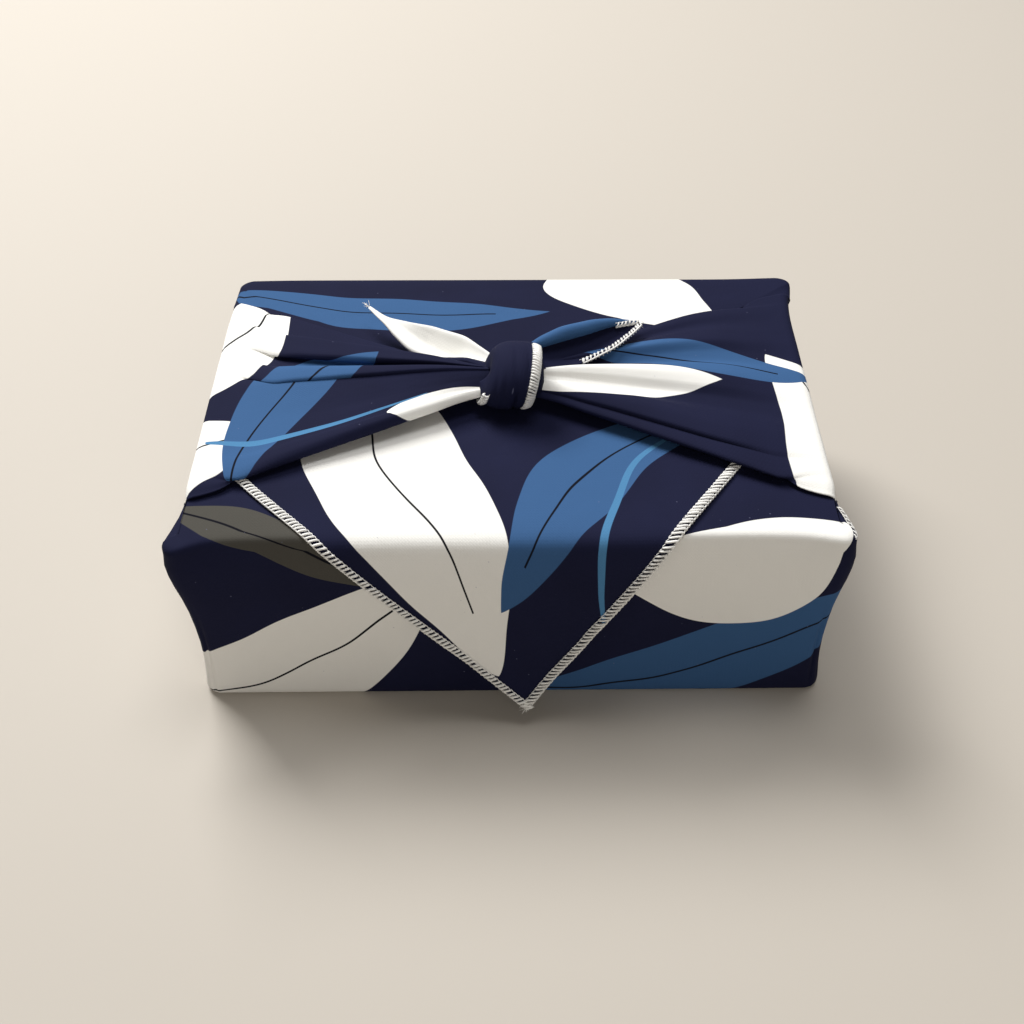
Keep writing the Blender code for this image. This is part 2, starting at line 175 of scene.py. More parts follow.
def printed_cotton():
    """Broadcloth printed through, so both faces show the pattern; the threads run at 45 degrees."""
    finish = bpy.data.materials.new("printed cotton broadcloth")
    finish.use_nodes = True
    tree = finish.node_tree
    shader = tree.nodes["Principled BSDF"]
    flat = add_node(tree, "UVMap", {"uv_map": "FlatCloth"}, {}).outputs["UV"]

    def mix(share, one, other, blend="MIX"):
        made = add_node(
            tree, "Mix", {"data_type": "RGBA", "blend_type": blend}, {0: share, 6: one, 7: other}
        )
        return made.outputs[2]

    # The outlines wander a little, as cut or brushed shapes do
    wander = add_node(tree, "TexNoise", {}, {"Vector": flat, "Scale": 14.0, "Detail": 1.0})
    centred = add_node(
        tree, "VectorMath", {"operation": "SUBTRACT"}, {0: wander.outputs["Color"], 1: (0.5, 0.5, 0.5)}
    )
    moved = add_node(
        tree,
        "VectorMath",
        {"operation": "MULTIPLY_ADD"},
        {0: centred.outputs[0], 1: (0.016, 0.016, 0.0), 2: flat},
    ).outputs[0]

    # Ground: navy, a little uneven from dyeing and handling
    tone = add_node(tree, "TexNoise", {}, {"Vector": flat, "Scale": 22.0, "Detail": 5.0})
    colour = mix(tone.outputs["Fac"], linear(NAVY_DEEP), linear(NAVY))

    shape = motif_shape()
    for p, q, turn, length, half, base, tip, bend, tint, rib in MOTIFS:
        at = add_node(
            tree,
            "Mapping",
            {"vector_type": "TEXTURE"},
            {
                "Vector": moved,
                "Location": (p / 1000, q / 1000, 0.0),
                "Rotation": (0.0, 0.0, math.radians(turn)),
                "Scale": (length / 1000, half / 1000, 1.0),
            },
        )
        peak = base / (base + tip)
        leaf = tree.nodes.new("ShaderNodeGroup")
        leaf.node_tree = shape
        tree.links.new(at.outputs[0], leaf.inputs["Place"])
        settings = {
            "Base": base,
            "Tip": tip,
            "Fullness": 1 / (peak**base * (1 - peak) ** tip),
            "Bend": 4 * bend / half,
            "Sharp": half / 1000 / EDGE_SOFT,
            "Rib": RIB_HALF * 1000 / half if rib else -1.0,
        }
        for name, value in settings.items():
            leaf.inputs[name].default_value = value
        colour = mix(leaf.outputs["Inside"], colour, linear(tint))
        colour = mix(leaf.outputs["Line"], colour, linear(LINE))

    # Plain weave: bands of thread one way and the other, over and under in turn
    threads = add_node(
        tree,
        "Mapping",
        {},
        {"Vector": flat, "Rotation": (0.0, 0.0, math.pi / 4), "Scale": (1 / THREAD_SPACING,) * 3},
    ).outputs[0]
    warp = add_node(tree, "TexWave", {"bands_direction": "X"}, {"Vector": threads, "Scale": 0.16})
    weft = add_node(tree, "TexWave", {"bands_direction": "Y"}, {"Vector": threads, "Scale": 0.16})
    over = add_node(tree, "TexChecker", {}, {"Vector": threads, "Scale": 0.5}).outputs["Fac"]
    weave = mix(over, warp.outputs["Color"], weft.outputs["Color"])
    crumple = add_node(tree, "TexNoise", {}, {"Vector": flat, "Scale": 60.0, "Detail": 3.0})
    soft = add_node(
        tree, "Bump", {}, {"Height": crumple.outputs["Fac"], "Strength": 0.25, "Distance": 0.0012}
    )
    relief = add_node(
        tree,
        "Bump",
        {},
        {"Height": weave, "Strength": 0.3, "Distance": 0.00012, "Normal": soft.outputs["Normal"]},
    )

    # Lint: a few pale specks of fibre
    speck = add_node(tree, "TexVoronoi", {}, {"Vector": flat, "Scale": 230.0, "Randomness": 1.0})
    small = add_node(
        tree, "MapRange", {}, {"Value": speck.outputs["Distance"], 1: 0.05, 2: 0.09, 3: 1.0, 4: 0.0}
    ).outputs[0]
    chosen = add_node(tree, "SeparateColor", {}, {0: speck.outputs["Color"]}).outputs[0]
    few = add_node(tree, "Math", {"operation": "GREATER_THAN"}, {0: chosen, 1: 0.86}).outputs[0]
    lint = add_node(tree, "Math", {"operation": "MULTIPLY"}, {0: small, 1: few}).outputs[0]
    lint = add_node(tree, "Math", {"operation": "MULTIPLY"}, {0: lint, 1: 0.35}).outputs[0]
    colour = mix(lint, colour, linear("#7c7f9c"))

    tree.links.new(colour, shader.inputs["Base Color"])
    tree.links.new(relief.outputs["Normal"], shader.inputs["Normal"])
    shader.inputs["Roughness"].default_value = 0.85
    shader.inputs["Specular IOR Level"].default_value = 0.12
    return finish


cotton = printed_cotton()

# ---- The cloth under and round the box ----
# The middle of the square lies under the box and its sides go straight up the four walls. At each
# upright edge the spare cloth is folded in under the cloth that is pulled up at the side.
WIDTH = 0.288
DEPTH = 0.195
HEIGHT = 0.098
HALF_WIDTH = WIDTH / 2
HALF_DEPTH = DEPTH / 2
UNDER_TOP = 0.0968
WING_TOP = 0.1001
CLOTH = 0.0005

EAR_REACH = 0.020
EAR_TURN = 0.35
EARS = (
    # side, end, how far it stands out
    (-1, -1, 0.0068),
    (1, -1, 0.0068),
    (1, 1, 0.0048),
    (-1, 1, -0.0024),
)
EAR_BY_HEIGHT = (
    # height, share
    (0.026, 0.0),
    (0.056, 0.32),
    (0.080, 0.92),
    (0.089, 1.0),
    (0.110, 0.70),
)
WALL = (
    # height, inset, corner radius
    (0.0000, 0.0004, 0.0064),
    (0.0008, -0.0008, 0.0068),
    (0.0030, -0.0013, 0.0070),
    (0.0120, -0.0005, 0.0070),
    (0.0400, 0.0007, 0.0065),
    (0.0680, 0.0004, 0.0065),
    (0.0840, 0.0000, 0.0070),
    (0.0905, 0.0006, 0.0070),
)
WALL_HEIGHTS = (0.0, 0.0004, 0.001, 0.0022, 0.0042, 0.008, 0.014, 0.022, 0.032, 0.043, 0.054, 0.064)
WALL_HEIGHTS += (0.072, 0.079, 0.085, 0.0905)
TUCK_BY_HEIGHT = (
    # height, share
    (0.0000, 0.0),
    (0.0120, 1.0),
    (0.0905, 1.0),
    (0.0962, 0.0),
)
TUCK_FOLD = (
    # from the fold's edge towards the corner, depth
    (0.0009, 0.0002),
    (0.0011, 0.0006),
    (0.0002, 0.0012),
    (-0.0018, 0.0026),
    (-0.0012, 0.0032),
    (0.0002, 0.0020),
    (0.0030, 0.0015),
)
TUCK_DEEP = (
    # height, depth of the spare cloth folded in
    (0.000, 0.0),
    (0.040, 0.026),
    (0.072, 0.044),
    (0.0905, 0.0),
)
# Front and back ends of each side corner: at the floor, at the top edge and at the knot
WING_EDGES = {
    -1: ((-0.0840, 0.0840), (-0.0668, 0.0790), (-0.0058, 0.0110)),
    1: ((-0.0840, 0.0840), (-0.0690, 0.0820), (-0.0064, 0.0120)),
}
# Beside each upright edge in front the cloth is creased where it turns the corner
GROOVE_AT = 0.1402
GROOVE_HALF = 0.0009
FRONT_GROOVE = (
    # height, depth
    (0.000, 0.0),
    (0.006, 0.0012),
    (0.030, 0.0016),
    (0.050, 0.0009),
    (0.068, 0.0),
)
# In front the upper part of the wall leans back, less so at the corners, which droop; behind, the
# left half stands out a little
FRONT_LEAN = (
    # height, how far back
    (0.036, 0.0),
    (0.060, 0.0008),
    (0.078, 0.0028),
    (0.0905, 0.0046),
    (0.0945, 0.0056),
    (0.0968, 0.0060),
)
FRONT_DROOP = {-1: 0.85, 1: 0.35}
BACK_OUT = 0.0038
SIDE_STEPS = 150
END_STEPS = 76
CORNER_STEPS = 14
SIDE_SHARES = np.linspace(0, 1, SIDE_STEPS + 1)


def smooth(rows, at):
    """The columns after the first, along a smooth curve between the rows of a table."""
    table = np.array(rows, float)
    x, y = table[:, 0], table[:, 1:]
    slope = np.diff(y, axis=0) / np.diff(x)[:, None]
    tangent = np.zeros_like(y)
    tangent[0], tangent[-1] = slope[0], slope[-1]
    before, after = slope[:-1], slope[1:]
    turns = before * after <= 0
    tangent[1:-1] = np.where(turns, 0, 2 * before * after / np.where(turns, 1, before + after))
    at = np.clip(np.atleast_1d(np.array(at, float)), x[0], x[-1])
    i = np.clip(np.searchsorted(x, at, side="right") - 1, 0, len(x) - 2)
    h = (x[i + 1] - x[i])[:, None]
    s = (at - x[i])[:, None] / h
    low = (2 * s**3 - 3 * s**2 + 1) * y[i] + (s**3 - 2 * s**2 + s) * h * tangent[i]
    return low + (3 * s**2 - 2 * s**3) * y[i + 1] + (s**3 - s**2) * h * tangent[i + 1]


def with_ears(points):
    """Rows of points, moved out or in near the upper corners."""
    points = np.array(points, float)
    share = smooth(EAR_BY_HEIGHT, points[:, 2])[:, 0]
    moved = points.copy()
    for side, end, out in EARS:
        away = (points[:, 0] - side * HALF_WIDTH) ** 2 + (points[:, 1] - end * HALF_DEPTH) ** 2
        push = out * share * np.exp(-away / EAR_REACH**2) / math.hypot(1, EAR_TURN)
        moved[:, 0] += push * side
        moved[:, 1] += push * end * EAR_TURN
    return moved


def wing_end(side, end, height):
    which = 0 if end < 0 else 1
    floor, edge, _ = WING_EDGES[side]
    return floor[which] + (edge[which] - floor[which]) * min(1.0, height / UNDER_TOP)


def tucked(side, end, height, inset, radius, under):
    """From the pulled-up cloth round the hidden fold to the start of the corner."""
    outer = HALF_WIDTH - inset
    share = smooth(TUCK_BY_HEIGHT, height)[0, 0]
    edge = wing_end(side, end, height) - end * under
    stop = end * (HALF_DEPTH - inset - radius)
    points = [(side * outer, edge)]
    deep = smooth(TUCK_DEEP, height)[0, 0]
    for out, depth in TUCK_FOLD:
        if out < 0:
            out -= deep
        points.append((side * (outer - depth * share), edge + end * out * share))
    deep = side * (outer - TUCK_FOLD[-1][1] * share)
    start = points[-1][1]
    points += [(deep, start + (stop - start) * k / 3) for k in (1, 2, 3)]
    return points


TUCKED_POINTS = 1 + len(TUCK_FOLD) + 3


def corner(side, end, inset, radius):
    """The points between a side and an end, anticlockwise, without the first and last."""
    start = {(-1, -1): 180, (1, -1): 270, (1, 1): 0, (-1, 1): 90}[side, end]
    turns = np.radians(start + 90 * np.arange(1, CORNER_STEPS) / CORNER_STEPS)
    x = side * (HALF_WIDTH - inset - radius) + radius * np.cos(turns)
    y = end * (HALF_DEPTH - inset - radius) + radius * np.sin(turns)
    return list(zip(x, y))


def end_run(end, height, inset, radius, under=0.0):
    """The cloth round the front (end -1) or the back (end 1), anticlockwise from side to side."""
    half = HALF_WIDTH - inset - radius
    points = tucked(end, end, height, inset, radius, under)
    points += corner(end, end, inset, radius)
    across = np.linspace(end * half, -end * half, END_STEPS + 1)
    points += [(x, end * (HALF_DEPTH - inset)) for x in across]
    points += corner(-end, end, inset, radius)
    points += tucked(-end, end, height, inset, radius, under)[::-1]
    run = with_ears([(x, y, height) for x, y in points])
    if end < 0:
        deep = smooth(FRONT_GROOVE, height)[0, 0]
        front = run[:, 1] < -HALF_DEPTH + 0.006
        run[:, 1] += deep * front * np.exp(-(((np.abs(run[:, 0]) - GROOVE_AT) / GROOVE_HALF) ** 2))
        lean = smooth(FRONT_LEAN, height)[0, 0]
        droop = np.where(run[:, 0] < 0, FRONT_DROOP[-1], FRONT_DROOP[1])
        lean = lean * (1 - droop * np.exp(-(((HALF_WIDTH - np.abs(run[:, 0])) / 0.010) ** 2)))
        run[:, 1] += lean * np.clip((-0.080 - run[:, 1]) / 0.008, 0, 1)
    else:
        left = np.clip(0.5 - run[:, 0] / WIDTH, 0, 1) * np.clip((run[:, 1] - 0.080) / 0.008, 0, 1)
        run[:, 1] += BACK_OUT * left * np.clip((height - 0.030) / 0.060, 0, 1)
    return run


def side_run(side, height, inset):
    """The pulled-up cloth on a side wall, anticlockwise."""
    front, back = wing_end(side, -1, height), wing_end(side, 1, height)
    y = front + (back - front) * SIDE_SHARES
    points = with_ears([(side * (HALF_WIDTH - inset), each, height) for each in y])
    return points if side > 0 else points[::-1]


def end_flat(end, points, height):
    """Flat-cloth places of an end run: p is measured along the run from its middle."""
    steps = np.hypot(*np.diff(points[:, :2], axis=0).T)
    along = np.concatenate([[0], np.cumsum(steps)])
    p = (along - along[-1] / 2) * -end
    return np.column_stack([p, np.full(len(p), end * (HALF_DEPTH + height))])


def side_flat(side, points, height):
    return np.column_stack([np.full(len(points), side * (HALF_WIDTH + height)), points[:, 1]])


class Cloth:
    """Rows of points with their places on the flat cloth, joined row by row."""

    def __init__(self):
        self.points, self.flat, self.faces, self.count = [], [], [], 0

    def row(self, points, flat):
        self.points.append(np.array(points, float))
        self.flat.append(np.array(flat, float))
        numbers = np.arange(self.count, self.count + len(points))
        self.count += len(points)
        return numbers

    def join(self, low, high):
        self.faces.append(np.column_stack([low[:-1], low[1:], high[1:], high[:-1]]))

    def made(self, name, material):
        """The object, with its flat places as a UV map."""
        mesh = bpy.data.meshes.new(name)
        flat = np.concatenate(self.flat)
        mesh.from_pydata(np.concatenate(self.points).tolist(), [], np.concatenate(self.faces).tolist())
        loops = np.zeros(len(mesh.loops), np.int32)
        mesh.loops.foreach_get("vertex_index", loops)
        mesh.uv_layers.new(name="FlatCloth").data.foreach_set("uv", flat[loops].ravel())
        mesh.materials.append(material)
        obj = bpy.data.objects.new(name, mesh)
        bpy.context.scene.collection.objects.link(obj)
        mesh.shade_smooth()
        return obj


cloth = Cloth()
low_ring = None
for share in (0.02, 0.3, 0.6, 0.85, 0.97):
    pieces = [end_run(-1, 0, *WALL[0][1:])[:-1], side_run(1, 0, WALL[0][1])[:-1]]
    pieces += [end_run(1, 0, *WALL[0][1:])[:-1], side_run(-1, 0, WALL[0][1])[:-1]]
    points = np.concatenate(pieces) * (share, share, 0)
    ring = cloth.row(points, points[:, :2])
    ring = np.append(ring, ring[0])
    if low_ring is not None:
        cloth.join(low_ring, ring)
    low_ring = ring
for height in WALL_HEIGHTS:
    inset, radius = smooth(WALL, height)[0]
    pieces, flats = [], []
    for kind, which in (("end", -1), ("side", 1), ("end", 1), ("side", -1)):
        if kind == "end":
            run = end_run(which, height, inset, radius)
            flat_run = end_flat(which, run, height)
        else:
            run = side_run(which, height, inset)
            flat_run = side_flat(which, run, height)
        pieces.append(run[:-1])
        flats.append(flat_run[:-1])
    ring = cloth.row(np.concatenate(pieces), np.concatenate(flats))
    ring = np.append(ring, ring[0])
    cloth.join(low_ring, ring)
    low_ring = ring
counts = np.cumsum([0] + [len(run) for run in pieces])
front_rim, right_rim, back_rim, left_rim = [low_ring[counts[i] : counts[i + 1] + 1] for i in range(4)]

# ---- The front corner ----
# It is turned in over the top first and lies flat on the box, under everything else. Only a strip
# along the front edge shows, on either side of the back corner.
TURN_IN = {
    # height, inset, corner radius, how far it runs on under the side corners
    -1: (
        (0.0905, 0.0006, 0.0070, 0.0),
        (0.0942, 0.0006, 0.0068, 0.0),
        (0.0959, 0.0013, 0.0066, 0.0004),
        (0.0966, 0.0028, 0.0063, 0.0024),
        (UNDER_TOP, 0.0056, 0.0060, 0.0090),
    ),
    1: (
        (0.0905, 0.0006, 0.0070, 0.0),
        (0.0950, -0.0006, 0.0069, 0.0),
        (0.0980, -0.0002, 0.0067, 0.0004),
        (0.0993, 0.0012, 0.0064, 0.0024),
        (0.0998, 0.0042, 0.0060, 0.0090),
    ),
}
TURN_IN_STEPS = 8
FRONT_LAYER = (
    # y of the row in front of the knot, y at its ends, half length, how far its ends fold under, drop
    (-0.0800, -0.0620, 0.1425, 0.004, 0.0),
    (-0.0620, -0.0520, 0.1415, 0.014, 0.0),
    (-0.0400, -0.0360, 0.1405, 0.030, 0.0),
    (0.0000, 0.0000, 0.1395, 0.048, 0.0),
    (0.0450, 0.0440, 0.1380, 0.060, 0.0),
    (0.0840, 0.0835, 0.1360, 0.060, 0.0),
    (0.0862, 0.0860, 0.1300, 0.060, 0.0006),
    (0.0855, 0.0850, 0.1240, 0.050, 0.0012),
    (0.0650, 0.0650, 0.1080, 0.030, 0.0013),
    (0.0300, 0.0300, 0.0760, 0.020, 0.0013),
    (-0.0050, -0.0050, 0.0400, 0.010, 0.0013),
    (-0.0400, -0.0400, 0.0040, 0.001, 0.0013),
)


def turned_in(end):
    """The rows of the turn over the top edge, in front (end -1) or behind (end 1)."""
    rows = np.array(TURN_IN[end])
    steps = np.hypot(*np.diff(rows[:, :2], axis=0).T)
    at = np.concatenate([[0], np.cumsum(steps)])
    table = np.column_stack([at, rows])
    made = smooth(table, np.linspace(0, at[-1], TURN_IN_STEPS + 1)[1:])
    runs = []
    for k, (height, inset, radius, under) in enumerate(made, 1):
        run = end_run(end, height, inset, radius, under)
        drop = 0.0009 * k / TURN_IN_STEPS * np.minimum(1.0, np.arange(1, TUCKED_POINTS + 1) / 3)
        run[:TUCKED_POINTS, 2] -= drop[::-1]
        run[-TUCKED_POINTS:, 2] -= drop
        upright = end_flat(end, run, height + inset)
        level = np.column_stack([run[:, 0], end * (2 * HALF_DEPTH + HEIGHT - np.abs(run[:, 1]))])
        runs.append((run, upright + (level - upright) * k / TURN_IN_STEPS))
    return runs


row = front_rim
for points, flat in turned_in(-1):
    high = cloth.row(points, flat)
    cloth.join(row, high)
    row = high
shown = points[TUCKED_POINTS:-TUCKED_POINTS, 0] / points[TUCKED_POINTS, 0] * -1
fold_under = np.arange(1, TUCKED_POINTS + 1) / TUCKED_POINTS
for middle_y, end_y, half, under, drop in FRONT_LAYER:
    left = -half + under * fold_under[::-1]
    x = np.concatenate([left, shown * half, -left[::-1]])
    y = middle_y + (end_y - middle_y) * np.abs(x / half) ** 6
    low = 0.0009 * np.minimum(1.0, 3 * fold_under)
    z = UNDER_TOP - drop - np.concatenate([low[::-1], np.zeros(len(shown)), low])
    high = cloth.row(np.column_stack([x, y, z]), np.column_stack([x, -(2 * HALF_DEPTH + HEIGHT) - y]))
    cloth.join(row, high)
    row = high

# ---- The back corner ----
# It comes over the top from behind, over the front corner, and hangs down the front in a point.
# Its two cut edges are overlocked and stand a little off the wall.
TIP_X = 0.007
SLANT = {-1: 1.015, 1: 0.715}
FLAP_SIDE_ROOM = 0.008
FLAP_ROWS = 84
FLAP_PATH = (
    # forward of the middle, height of the outer face
    (-0.0640, HEIGHT + 0.0007),
    (-0.0400, HEIGHT + 0.0001),
    (-0.0100, HEIGHT),
    (0.0250, HEIGHT),
    (0.0550, HEIGHT),
    (0.0780, HEIGHT),
    (0.0870, HEIGHT - 0.0003),
    (0.0912, HEIGHT - 0.0009),
    (0.0941, HEIGHT - 0.0022),
    (0.0960, HEIGHT - 0.0046),
    (0.0971, HEIGHT - 0.0080),
    (0.0988, 0.0850),
    (0.1014, 0.0740),
    (0.1036, 0.0600),
    (0.1063, 0.0450),
    (0.1088, 0.0310),
    (0.1112, 0.0190),
    (0.1127, 0.0125),
    (0.1135, 0.0088),
)
FAN_ROWS = 8

row = back_rim
for points, flat in turned_in(1):
    high = cloth.row(points, flat)
    cloth.join(row, high)
    row = high
fan_from, fan_flat = points, flat

path = np.array(FLAP_PATH)
path_steps = np.hypot(*np.diff(path, axis=0).T)
path_at = np.concatenate([[0], np.cumsum(path_steps)])
path_table = np.column_stack([path_at, path])
flap_points = []
flap_columns = len(fan_from)
flap_share = np.linspace(1, -1, flap_columns)


def lesser(one, other):
    """The lesser of two lengths, with a soft change between them."""
    return (one + other - math.hypot(one - other, 0.012)) / 2


def flap_row(at):
    """One row of the back corner, from its right edge to its left, and its flat places."""
    forward, height = smooth(path_table, at)[0]
    to_tip = path_at[-1] - at
    reach = HALF_WIDTH - FLAP_SIDE_ROOM
    right = TIP_X + lesser(reach - TIP_X, SLANT[1] * to_tip + 0.0002)
    left = TIP_X - lesser(reach + TIP_X, SLANT[-1] * to_tip + 0.0002)
    x = right + (left - right) * (1 - flap_share) / 2
    hang = max(0.0, 0.090 - height) / 0.090
    ripple = 0.0011 * np.sin(x * 62 + 1.0) * hang + 0.0006 * np.sin(x * 131 + height * 90) * hang
    points = np.column_stack([x, -forward - np.abs(ripple), np.full(len(x), height)])
    settle = 0.0005 * np.sin(x * 47 + 0.6) * np.sin(forward * 38 + 0.4)
    points[:, 2] += settle * (1 - hang)
    half = lesser(HALF_WIDTH, to_tip)
    flat = np.column_stack([flap_share * half, np.full(len(x), HALF_DIAGONAL - to_tip)])
    return with_ears(points), flat


first_row, first_flat = flap_row(0.0)
for k in range(1, FAN_ROWS):
    share = k / FAN_ROWS
    points = fan_from * (1 - share) + first_row * share
    high = cloth.row(points, fan_flat * (1 - share) + first_flat * share)
    cloth.join(row, high)
    row = high
for at in np.linspace(0, path_at[-1] - 0.0006, FLAP_ROWS):
    points, flat = flap_row(at)
    flap_points.append(points)
    high = cloth.row(points, flat)
    cloth.join(row, high)
    row = high

# ---- The two side corners ----
# Each comes up a side wall and over the top edge, and is gathered in pleats towards the knot. The
# left one is pulled into sharp folds that lie over each other, the right one into soft ripples.
WING_PATH = (
    # from the middle, height of the outer face, share of the way across the top
    (0.1434, 0.0905, 0.0),
    (HALF_WIDTH - 0.0001, 0.0950, 0.0),
    (HALF_WIDTH - 0.0010, 0.0988, 0.0),
    (HALF_WIDTH - 0.0042, WING_TOP, 0.01),
    (HALF_WIDTH - 0.0110, WING_TOP, 0.05),
    (0.1200, WING_TOP, 0.14),
    (0.1060, WING_TOP, 0.25),
    (0.0910, WING_TOP, 0.37),
    (0.0760, WING_TOP, 0.49),
    (0.0610, WING_TOP, 0.61),
    (0.0470, WING_TOP, 0.72),
    (0.0350, WING_TOP, 0.81),
    (0.0240, WING_TOP, 0.90),
    (0.0150, WING_TOP, 0.96),
    (0.0070, WING_TOP, 1.00),
)
WING_RISE = (
    # share of the way across, lift, arch, pleat depth
    (0.00, 0.0000, 0.0000, 0.0004),
    (0.06, 0.0000, 0.0001, 0.0016),
    (0.14, 0.0001, 0.0002, 0.0032),
    (0.30, 0.0003, 0.0006, 0.0058),
    (0.55, 0.0012, 0.0020, 0.0068),
    (0.75, 0.0028, 0.0042, 0.0058),
    (0.90, 0.0044, 0.0058, 0.0038),
    (1.00, 0.0052, 0.0064, 0.0022),
)
WING_FOLDS = {
    -1: (
        # share of the cloth from front to back, place in the gathered width, level
        (0.000, 0.420, 0.02),
        (0.040, 0.220, 0.02),
        (0.066, 0.050, 0.03),
        (0.076, 0.014, 0.10),
        (0.086, 0.000, 0.34),
        (0.098, 0.010, 0.62),
        (0.118, 0.045, 0.86),
        (0.138, 0.080, 0.84),
        (0.165, 0.122, 0.60),
        (0.210, 0.180, 0.46),
        (0.300, 0.285, 0.46),
        (0.400, 0.395, 0.60),
        (0.470, 0.475, 0.76),
        (0.505, 0.520, 0.84),
        (0.540, 0.552, 0.70),
        (0.560, 0.530, 0.62),
        (0.578, 0.502, 0.84),
        (0.600, 0.515, 1.10),
        (0.632, 0.565, 1.16),
        (0.658, 0.608, 0.96),
        (0.680, 0.628, 0.40),
        (0.705, 0.665, 0.22),
        (0.735, 0.705, 0.34),
        (0.758, 0.684, 0.62),
        (0.785, 0.700, 0.98),
        (0.825, 0.752, 1.08),
        (0.858, 0.808, 1.16),
        (0.876, 0.828, 0.86),
        (0.890, 0.832, 0.38),
        (0.915, 0.900, 0.22),
        (0.936, 0.980, 0.20),
        (0.944, 1.000, 0.12),
        (0.952, 0.985, 0.02),
        (1.000, 0.620, 0.00),
    ),
    1: (
        (0.000, 0.400, 0.00),
        (0.040, 0.200, 0.00),
        (0.062, 0.050, 0.02),
        (0.072, 0.012, 0.08),
        (0.080, 0.000, 0.26),
        (0.092, 0.012, 0.46),
        (0.112, 0.050, 0.50),
        (0.132, 0.090, 0.44),
        (0.142, 0.088, 0.50),
        (0.158, 0.098, 0.74),
        (0.200, 0.165, 0.86),
        (0.265, 0.255, 0.66),
        (0.325, 0.335, 0.22),
        (0.375, 0.385, 0.26),
        (0.430, 0.440, 0.76),
        (0.490, 0.505, 1.00),
        (0.550, 0.575, 0.72),
        (0.605, 0.640, 0.20),
        (0.650, 0.690, 0.40),
        (0.715, 0.750, 0.90),
        (0.775, 0.820, 0.72),
        (0.850, 0.895, 0.32),
        (0.904, 0.945, 0.46),
        (0.932, 0.985, 0.38),
        (0.942, 1.000, 0.22),
        (0.952, 0.985, 0.03),
        (1.000, 0.640, 0.00),
    ),
}
GATHER = {
    # how far across the top the folds begin, and where they are full
    -1: (0.02, 0.22),
    1: (0.02, 0.42),
}
FRONT_GATHER = (0.0, 0.16)
LIP = (0.0012, 0.0015)
TURNED_UNDER = (0.06, 0.50)
BACK_BOW = {-1: 0.0, 1: 0.006}
WING_ROWS = 58


def eased(value, low, high):
    share = min(1.0, max(0.0, (value - low) / (high - low)))
    return share * share * (3 - 2 * share)


wing_path = np.array(WING_PATH)
wing_steps = np.hypot(*np.diff(wing_path[:, :2], axis=0).T)
wing_at = np.concatenate([[0], np.cumsum(wing_steps)])
wing_table = np.column_stack([wing_at, wing_path])
wing_stops = np.concatenate([np.linspace(0, 0.020, 13)[1:], np.linspace(0.020, wing_at[-1], WING_ROWS - 11)[1:]])
wing_grid = {}
for side, rim in ((1, right_rim), (-1, left_rim)):
    edge, knot = WING_EDGES[side][1:]
    place, level = smooth(WING_FOLDS[side], SIDE_SHARES).T
    front_fold, back_fold = np.argmin(place), np.argmax(place)
    flat_place = place.copy()
    flat_place[:front_fold] = place[front_fold]
    flat_place[back_fold:] = place[back_fold]
    row = rim
    grid = []
    for at in wing_stops:
        from_middle, height, across = smooth(wing_table, at)[0]
        lift, arch, depth = smooth(WING_RISE, across)[0]
        in_front = np.clip(1.5 - SIDE_SHARES / (2 * SIDE_SHARES[front_fold]), 0, 1)
        gathered = eased(across, *GATHER[side])
        gathered += in_front * (max(gathered, eased(across, *FRONT_GATHER)) - gathered)
        share = SIDE_SHARES + (flat_place - SIDE_SHARES) * gathered
        share += (place - flat_place) * eased(across, *TURNED_UNDER)
        bow = math.sin(math.pi * across)
        front = edge[0] + (knot[0] - edge[0]) * across
        back = edge[1] + (knot[1] - edge[1]) * across + BACK_BOW[side] * bow
        y = front + (back - front) * share
        z = height + lift + arch * np.sin(np.pi * np.clip(share, 0, 1)) + depth * level
        lip = np.exp(-((SIDE_SHARES / 0.03) ** 2)) * eased(at, 0, 0.005) * (1 - eased(across, 0.02, 0.20))
        x = side * (from_middle - LIP[0] * lip)
        z -= LIP[1] * lip * eased(height, 0.0930, 0.0985)
        points = with_ears(np.column_stack([x, y, z]))
        q = edge[0] + (edge[1] - edge[0]) * SIDE_SHARES
        flat = np.column_stack([np.full(len(y), side * (HALF_WIDTH + 0.0905 + at)), q])
        grid.append(points)
        if side < 0:
            points, flat = points[::-1], flat[::-1]
        high = cloth.row(points, flat)
        cloth.join(row, high)
        row = high
    wing_grid[side] = np.array(grid)

wrapping_cloth = cloth.made("wrapping_cloth", cotton)
wall = wrapping_cloth.modifiers.new("Cloth", "SOLIDIFY")
wall.thickness = CLOTH
wall.offset = -1.0
bpy.ops.object.select_all(action="DESELECT")
wrapping_cloth.select_set(True)
bpy.context.view_layer.objects.active = wrapping_cloth
bpy.ops.object.modifier_apply(modifier=wall.name)
for vertex in wrapping_cloth.data.vertices:
    vertex.co.z = max(vertex.co.z, 0.0)

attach(wrapping_cloth, "root")
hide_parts("cloth")

# ---- The knot ----
# The two gathered side corners are crossed and drawn tight, and one lies over the other as a smooth
# band. The band's right border is the cloth's own overlocked edge; under it the core just shows.
KNOT_CENTRE = (0.001, 0.001, HEIGHT + 0.0140)
KNOT_HALF = (0.0125, 0.0180, 0.0140)
KNOT_BAND = (
    # from the left end (-1) to the right end (1), girth
    (-1.02, 0.20),
    (-1.00, 0.36),
    (-0.93, 0.62),
    (-0.80, 0.80),
    (-0.60, 0.92),
    (-0.35, 0.98),
    (-0.10, 1.00),
    (0.20, 0.99),
    (0.45, 0.97),
    (0.66, 0.93),
    (0.76, 0.88),
    (0.80, 0.82),
    (0.78, 0.74),
    (0.74, 0.64),
)
KNOT_CORE = (
    (0.55, 0.66),
    (0.80, 0.68),
    (0.98, 0.60),
    (1.12, 0.46),
    (1.20, 0.24),
)
KNOT_TURNS = 88
